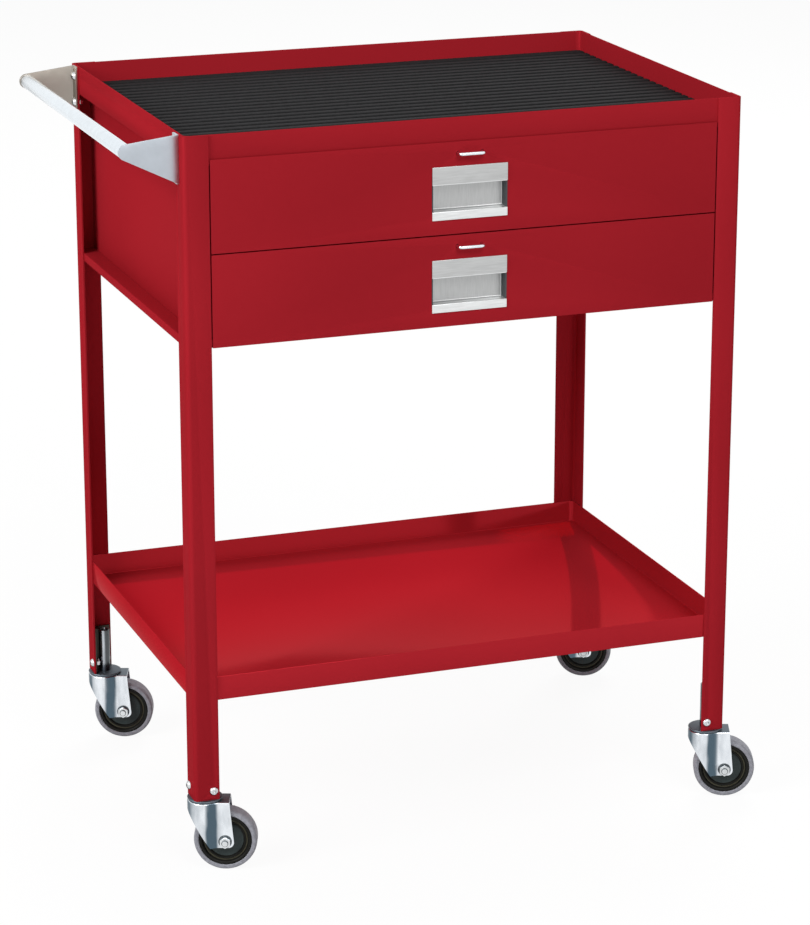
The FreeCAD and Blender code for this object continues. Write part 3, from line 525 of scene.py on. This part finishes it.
# Push handle: a bright bar between two tapered arms of 2.5 mm plate, whose bent roots are
# bolted to the left legs. The bar's ends are rolled over the arms' tips.
low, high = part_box("handle_bar")
radius, rolled_end, arm_edge = (high.z - low.z) / 2, 0.0012, 0.0006
shape = bmesh.new()
made = bmesh.ops.create_cone(shape, cap_ends=True, segments=48, radius1=radius, radius2=radius,
                             depth=high.y - low.y)["verts"]
bmesh.ops.rotate(shape, cent=(0, 0, 0), verts=made, matrix=Matrix.Rotation(math.pi / 2, 3, "X"))
bmesh.ops.translate(shape, vec=(low + high) / 2, verts=made)
ends = [edge for edge in shape.edges if edge.calc_face_angle(0) > 1]
bmesh.ops.bevel(shape, geom=ends, offset=rolled_end, offset_type="OFFSET", segments=3,
                profile=0.5, affect="EDGES", clamp_overlap=True, material=-1)
fitted("push_bar", shape, polished, "handle_bar", "frame")
# The front arm is painted lighter and the rear one darker, as light on the one and shade on the
# other's inner face.
for end, colour in (("front", tone(194, 201, 209)), ("rear", tone(164, 157, 148))):
    node = "handle_arm_" + end
    fitted("tapered_arm_" + end, shaped_from(node, arm_edge),
           zinc_plate("arm_plate_" + end, colour, 0.34), node, "frame")


# Bolts: plated button heads with a hex socket outside, and chamfered nuts inside. Each
# head's seat is found from the corners of the CAD bolts.
def hex_nut(shape, seat, direction, across, height):
    """A nut with chamfered corners that stands on a seat."""
    made = bmesh.ops.create_cone(shape, cap_ends=True, segments=6, depth=height,
                                 radius1=across / 2 / math.cos(math.pi / 6),
                                 radius2=across / 2 / math.cos(math.pi / 6))["verts"]
    edges = list({e for v in made for e in v.link_edges
                  if abs(e.verts[0].co.z - e.verts[1].co.z) < 1e-6})
    done = bmesh.ops.bevel(shape, geom=edges, offset=height * 0.12, offset_type="OFFSET",
                           segments=2, profile=0.5, affect="EDGES", clamp_overlap=True,
                           material=-1)
    verts = list({v for f in done["faces"] for v in f.verts} | {v for v in made if v.is_valid})
    turn_out(shape, verts, seat, direction, height / 2)


def turn_out(shape, verts, seat, direction, lift):
    """Stand a shape that was made about the Z axis on a seat, along a direction."""
    bmesh.ops.translate(shape, vec=(0, 0, lift), verts=verts)
    bmesh.ops.rotate(shape, cent=(0, 0, 0), verts=verts,
                     matrix=Vector(direction).to_track_quat("Z", "Y").to_matrix())
    bmesh.ops.translate(shape, vec=seat, verts=verts)


def turned(shape, profile, steps=48):
    """A closed shape spun about the Z axis from radius and height pairs."""
    first = [shape.verts.new((radius, 0, height)) for radius, height in profile]
    edges = [shape.edges.new(pair) for pair in zip(first, first[1:])]
    bmesh.ops.spin(shape, geom=first + edges, cent=(0, 0, 0), axis=(0, 0, 1),
                   angle=2 * math.pi, steps=steps, use_merge=True)


head_radius, head_height, shank_radius = 0.00525, 0.0033, 0.0025
nut_across, nut_height, thread_end = 0.008, 0.004, 0.0004
past_grip = 0.0046  # the nut and a little thread


def button_bolt(shape, seat, direction, grip):
    """An M5 button-head bolt with a hex socket, its shank, and its nut under the grip."""
    radius, height, shank = head_radius, head_height, shank_radius
    reach = grip + past_grip
    part = bmesh.new()
    turned(part, [(0, height * 0.45), (radius * 0.32, height * 0.45), (radius * 0.34, height),
                  (radius * 0.5, height), (radius * 0.8, height * 0.72),
                  (radius * 0.97, height * 0.3), (radius, 0), (shank, 0), (shank, -reach),
                  (shank * 0.7, -reach - thread_end), (0, -reach - thread_end)], 32)
    hex_nut(part, (0, 0, -grip), (0, 0, -1), nut_across, nut_height)
    turn_out(part, part.verts, seat, direction, 0)
    bmesh.ops.remove_doubles(part, verts=part.verts, dist=1e-6)
    bmesh.ops.recalc_face_normals(part, faces=part.faces)
    loose = bpy.data.meshes.new("bolt")
    part.to_mesh(loose)
    part.free()
    shape.from_mesh(loose)
    bpy.data.meshes.remove(loose)


# Painted shade and dark reflection on the heads and nuts where they face left and down.
bolt_zinc = zinc_with_painted_shade("bolt_zinc", tone(222, 225, 227), tone(70, 66, 62),
                        (-0.45, 0.3, -0.84), ((0.68, 0), (0.82, 1)))
low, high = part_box("handle_bolts")
shape = bmesh.new()
upper_grip, lower_grip = 0.006, 0.0045
for side in (-1, 1):
    for height, grip in ((high.z - head_radius, upper_grip), (low.z + head_radius, lower_grip)):
        seat = (low.x + head_height, side * (high.y - head_radius), height)
        button_bolt(shape, seat, (-1, 0, 0), grip)
fitted("handle_bolt_set", shape, bolt_zinc, "handle_bolts", "frame")

low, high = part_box("socket_bolts")
shape = bmesh.new()
bolt_inset, foot_grip = 0.0263, 0.004
front_bolt_z, side_bolt_z = 0.101, 0.103
for side in (-1, 1):
    for end in (-1, 1):
        seats = (((side * (high.x - bolt_inset), end * (high.y - head_height), front_bolt_z),
                  (0, end, 0)),
                 ((side * (high.x - head_height), end * (high.y - bolt_inset), side_bolt_z),
                  (side, 0, 0)))
        for seat, direction in seats:
            button_bolt(shape, seat, direction, foot_grip)
fitted("foot_bolt_set", shape, bolt_zinc, "socket_bolts", "frame")


# Caster stems: turned pins with the fixed upper race, a domed washer under each leg. All
# four casters stand turned a little, as the photograph shows them.
caster_yaw = math.radians(-21)


def placed_caster(shape, corner):
    """Move a shape made about a caster's own swivel axis to its leg."""
    side = 1 if corner.endswith("right") else -1
    end = 1 if corner.startswith("rear") else -1
    bmesh.ops.rotate(shape, cent=(0, 0, 0), verts=shape.verts,
                     matrix=Matrix.Rotation(caster_yaw, 3, "Z"))
    bmesh.ops.translate(shape, vec=(side * swivel_x, end * swivel_y, 0), verts=shape.verts)


# The race is zinc painted dark, as the shade under the leg's foot.
shaded_race_zinc = zinc_plate("shaded_race_zinc", tone(98, 106, 114), 0.5)
pin = [(0, 0.140), (0.0042, 0.140), (0.005, 0.1392), (0.005, 0.0899)]
upper_race = [(0.0196, 0.0899), (0.0207, 0.0895), (0.021, 0.0889), (0.0207, 0.0882),
              (0.0198, 0.0879)]
kingpin = [(0.004, 0.0879), (0.004, 0.0837), (0.0064, 0.0835), (0.007, 0.0825),
           (0.0064, 0.0813), (0, 0.0808)]
for corner in corners:
    shape = bmesh.new()
    turned(shape, pin + upper_race + kingpin)
    bmesh.ops.remove_doubles(shape, verts=shape.verts, dist=1e-6)
    bmesh.ops.recalc_face_normals(shape, faces=shape.faces)
    placed_caster(shape, corner)
    fitted("turned_stem_" + corner, shape, shaded_race_zinc, "caster_stem_" + corner,
           "frame")


# Caster forks: one pressing each. A round skirt about the swivel runs in a soft double bend
# into two flat ears, cut away on a slant in front, and the lower race is pressed in on top.
# Painted dark reflections on the skirt's double bend and nose, set by the way each face points.
fork_zinc = zinc_with_painted_shade("fork_zinc", tone(240, 245, 250), tone(82, 100, 112),
                        (math.cos(caster_yaw), math.sin(caster_yaw), 0),
                        ((0.02, 1), (0.09, 0.9), (0.17, 0.4), (0.27, 0.05), (0.5, 0),
                         (0.55, 0.1), (0.62, 0.6), (0.68, 0.95), (0.72, 1), (0.8, 0)))
# The crown's top and the lower race are zinc painted dark, as the shade under the leg's foot.
shaded_crown_zinc = zinc_plate("shaded_crown_zinc", tone(112, 122, 130), 0.5)
skirt_radius, ear_step, crown_top = 0.021, 0.0055, 0.0865
bend_reach, ear_reach, skirt_drop, plate = 0.0168, 0.0360, 0.057, 0.002
nose_round, heel_round, shoulder_round = 0.0075, 0.0025, 0.002
ear_foot, nose_from, heel_to, crown_foot = 0.030, 0.0315, 0.0095, 0.0862
slant = (-0.021, 0, 0.0755), (-0.046, 0, -0.0275)
nose_cut = (0.0295, 0, 0.0865), (0.057, 0, 0.0055)
lower_race = [(0.0085, 0.0864), (0.0085, 0.0875), (0.0172, 0.0875), (0.0187, 0.0872),
              (0.0190, 0.0864)]
for corner in corners:
    shape = bmesh.new()
    tip = shape.verts.new((0, -skirt_radius, crown_top))
    arc = bmesh.ops.spin(shape, geom=[tip], cent=(0, 0, crown_top), axis=(0, 0, 1),
                         angle=-math.pi, steps=24)
    last = [item for item in arc["geom_last"] if isinstance(item, bmesh.types.BMVert)][0]
    for start, side in ((tip, -1), (last, 1)):
        for step in range(1, 14):
            part = min(step / 12, 1)
            grown = bmesh.ops.extrude_vert_indiv(shape, verts=[start])
            start = grown["verts"][0]
            eased = part * part * (3 - 2 * part)
            start.co = (bend_reach * part if step < 13 else ear_reach,
                        side * (skirt_radius - ear_step * eased), crown_top)
    bmesh.ops.remove_doubles(shape, verts=shape.verts, dist=1e-6)
    wall = bmesh.ops.extrude_edge_only(shape, edges=list(shape.edges))["geom"]
    foot = [item for item in wall if isinstance(item, bmesh.types.BMVert)]
    bmesh.ops.translate(shape, vec=(0, 0, -skirt_drop), verts=foot)
    rim = [v for v in shape.verts if v.co.z > crown_top - 0.0001]
    bmesh.ops.contextual_create(shape, geom=rim)
    for spot, normal in (slant, nose_cut):
        bmesh.ops.bisect_plane(shape, geom=shape.verts[:] + shape.edges[:] + shape.faces[:],
                               plane_co=spot, plane_no=Vector(normal).normalized(),
                               clear_outer=True)
    noses = [v for v in shape.verts if v.co.z < ear_foot and v.co.x > nose_from]
    bmesh.ops.bevel(shape, geom=noses, offset=nose_round, offset_type="OFFSET", segments=7,
                    profile=0.5, affect="VERTICES", clamp_overlap=True, material=-1)
    heels = [v for v in shape.verts if v.co.z < ear_foot and v.co.x < heel_to]
    bmesh.ops.bevel(shape, geom=heels, offset=heel_round, offset_type="OFFSET", segments=4,
                    profile=0.5, affect="VERTICES", clamp_overlap=True, material=-1)
    shoulder = [e for e in shape.edges if len(e.link_faces) == 2 and
                min(v.co.z for v in e.verts) > crown_top - 0.0001 and
                e.calc_face_angle(0) > 1]
    bmesh.ops.bevel(shape, geom=shoulder, offset=shoulder_round, offset_type="OFFSET",
                    segments=4, profile=0.5, affect="EDGES", clamp_overlap=True, material=-1)
    bmesh.ops.recalc_face_normals(shape, faces=shape.faces)
    bmesh.ops.solidify(shape, geom=list(shape.faces), thickness=plate)
    turned(shape, lower_race)
    # The crown's top and the lower race take the painted shade.
    for skin in shape.faces:
        skin.material_index = 1 if skin.calc_center_median().z > crown_foot else 0
    placed_caster(shape, corner)
    fork = fitted("pressed_fork_" + corner, shape, fork_zinc, "caster_fork_" + corner,
                  "fork_" + corner, smooth=50)
    fork.data.materials.append(shaded_crown_zinc)


# Axles: a zinc-plated M8 bolt through both ears of each fork. It has a washer and a nut at
# either end, and a short threaded tail. The washers and the rod are painted dark as the shade
# round the nuts, and the nuts carry painted shade on the flats that face left and down.
# Washers and rod: zinc painted dark, as the shade round the nuts.
painted_shade_zinc = zinc_plate("painted_shade_zinc", tone(84, 90, 94), 0.4)
# Nuts: painted shade on the flats that face left and down.
nut_zinc = zinc_with_painted_shade("nut_zinc", tone(226, 230, 232), tone(60, 64, 66), (-0.6, 0.35, -0.72),
                       ((0.58, 0), (0.74, 1)))
trail, axle_height = 0.024, 0.0375
rod, tail, ear_face, washer_face, washer_radius = 0.004, 0.0228, 0.0156, 0.0165, 0.0079
thread_root, thread_crest, pitch = 0.0036, 0.0041, 0.0011
axle_nut_across, axle_nut_height = 0.0124, 0.0045
for corner in corners:
    shape = bmesh.new()
    turned(shape, [(0, -tail), (0.0033, -tail), (rod, 0.0007 - tail), (rod, 0.0155),
                   (0, 0.0155)], 32)
    for ring in range(5):
        first = 0.0004 - tail + ring * pitch
        turned(shape, [(thread_root, first), (thread_crest, first + pitch / 2),
                       (thread_root, first + pitch)], 32)
    for side in (-1, 1):
        turned(shape, [(rod, side * ear_face), (washer_radius, side * ear_face),
                       (washer_radius, side * washer_face), (rod, side * washer_face)], 36)
    bmesh.ops.remove_doubles(shape, verts=shape.verts, dist=1e-6)
    bmesh.ops.recalc_face_normals(shape, faces=shape.faces)
    # The washers, the rod and its thread take the painted shade.
    for skin in shape.faces:
        out = skin.calc_center_median().xy.length
        threaded = thread_root < out < thread_crest
        skin.material_index = 1 if out > 0.0045 or threaded else 0
    for side in (-1, 1):
        hex_nut(shape, (0, 0, side * washer_face), (0, 0, side), axle_nut_across,
                axle_nut_height)
    bmesh.ops.rotate(shape, cent=(0, 0, 0), verts=shape.verts,
                     matrix=Matrix.Rotation(-math.pi / 2, 3, "X"))
    bmesh.ops.translate(shape, vec=(trail, 0, axle_height), verts=shape.verts)
    placed_caster(shape, corner)
    axle = fitted("axle_bolt_" + corner, shape, nut_zinc, "caster_axle_" + corner,
                  "fork_" + corner, smooth=35)
    axle.data.materials.append(painted_shade_zinc)


# Wheels: a moulded black hub with stepped rings, and a soft grey tyre with round shoulders
# that is bonded to it. The hub turns on the axle.
def moulded_plastic(name, colour, rough):
    """Moulded plastic with a faint mould grain."""
    plastic = worn_rubber(name, colour, rough, 700)
    plastic.node_tree.nodes["Bump"].inputs["Strength"].default_value = 0.1
    return plastic


hub_plastic = moulded_plastic("hub_plastic", tone(54, 63, 63), 0.34)
# The groove is painted darker as shade and the ridge lighter as a highlight; both are the hub's
# own plastic.
groove_shade_plastic = moulded_plastic("groove_shade_plastic", tone(22, 22, 19), 0.5)
ridge_highlight_plastic = moulded_plastic("ridge_highlight_plastic", tone(74, 72, 58), 0.3)
tyre_rubber = worn_rubber("tyre_rubber", tone(148, 149, 157), 0.5, 260)
half_hub = [(0.00405, 0.0132), (0.0082, 0.0132), (0.009, 0.0124), (0.009, 0.0076),
            (0.0105, 0.0070), (0.0200, 0.0066), (0.0212, 0.0070), (0.0220, 0.0086),
            (0.0226, 0.0094), (0.0238, 0.0094), (0.0244, 0.0084), (0.0250, 0.0080),
            (0.0262, 0.0080), (0.0268, 0.0088), (0.0274, 0.0106), (0.0282, 0.0113),
            (0.0300, 0.0113), (0.0306, 0.0106), (0.0313, 0.0104)]
half_tyre = [(0.0313, 0.0108), (0.0320, 0.0116), (0.0340, 0.0118), (0.0356, 0.0113),
             (0.0368, 0.0098), (0.0374, 0.0075), (0.0375, 0.0040), (0.0375, 0)]
groove_start, ridge_start, ridge_end = 0.0214, 0.0244, 0.0262
for corner in corners:
    for kind, profile, material, slot in (("hub", half_hub, hub_plastic, "wheel_plastic"),
                                          ("tyre", half_tyre, tyre_rubber, "wheel_tyre")):
        shape = bmesh.new()
        mirrored = [(radius, -height) for radius, height in reversed(profile) if height > 0]
        turned(shape, profile + mirrored + [profile[0]], 72)
        bmesh.ops.remove_doubles(shape, verts=shape.verts, dist=1e-6)
        bmesh.ops.recalc_face_normals(shape, faces=shape.faces)
        for skin in shape.faces:
            out = skin.calc_center_median().xy.length
            # The groove takes the painted shade and the ridge the painted highlight.
            if kind == "hub" and out > groove_start:
                skin.material_index = 2 if ridge_start < out < ridge_end else 1
        bmesh.ops.rotate(shape, cent=(0, 0, 0), verts=shape.verts,
                         matrix=Matrix.Rotation(math.pi / 2, 3, "X"))
        bmesh.ops.translate(shape, vec=(trail, 0, axle_height), verts=shape.verts)
        placed_caster(shape, corner)
        wheel = fitted("turned_%s_%s" % (kind, corner), shape, material,
                       "caster_%s_%s" % (kind, corner), "wheel_" + corner, smooth=30)
        if kind == "hub":
            wheel.data.materials.append(groove_shade_plastic)
            wheel.data.materials.append(ridge_highlight_plastic)
